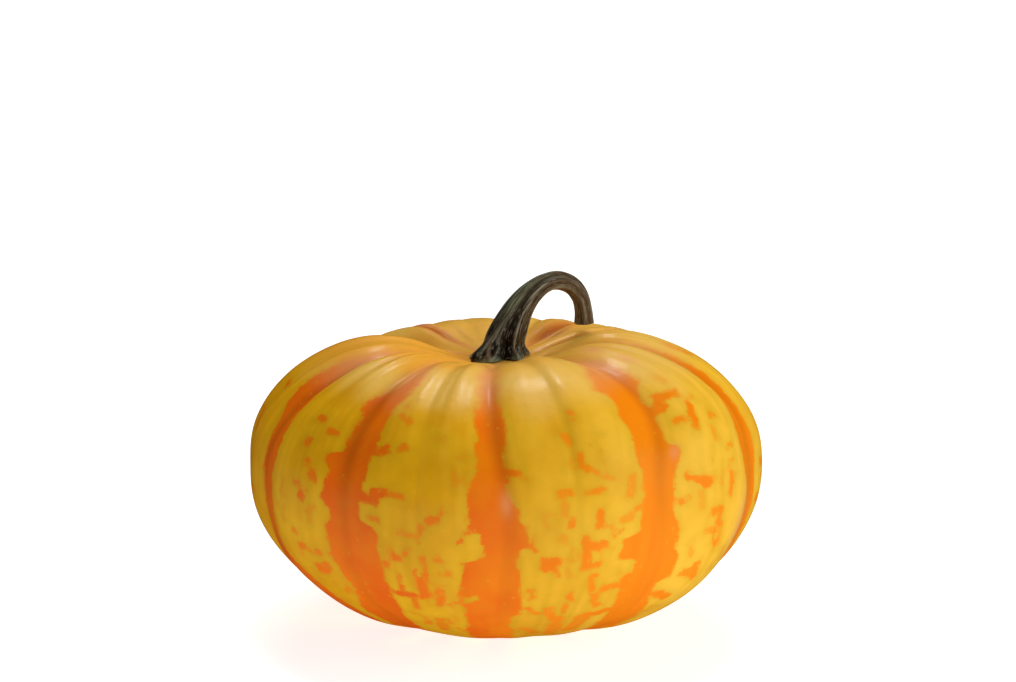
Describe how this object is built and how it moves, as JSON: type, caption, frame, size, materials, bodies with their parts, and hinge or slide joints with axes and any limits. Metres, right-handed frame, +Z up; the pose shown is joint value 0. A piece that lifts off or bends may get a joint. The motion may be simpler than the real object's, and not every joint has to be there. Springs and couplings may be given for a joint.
{
  "type": "striped ornamental pumpkin",
  "caption": "Small squat pumpkin with yellow and orange striped lobes and a dry, ridged, hooked stem; rests on the flats of its lobes.",
  "frame": {"origin": "the middle of the footprint, on the surface that the fruit rests on", "axes": "+Z up from the blossom end to the stem; -Y is the side that faces the viewer in the picture; +X to the viewer's right"},
  "size_m": [0.15, 0.1476, 0.1006],
  "materials": {
    "rind": "waxy, satin rind, yellow with orange stripes and flecks",
    "dry_stem": "dry, corky, dark grey-green to brown"
  },
  "bodies": {
    "root": {"fruit": "rind", "stem": "dry_stem"}
  },
  "joints": []
}
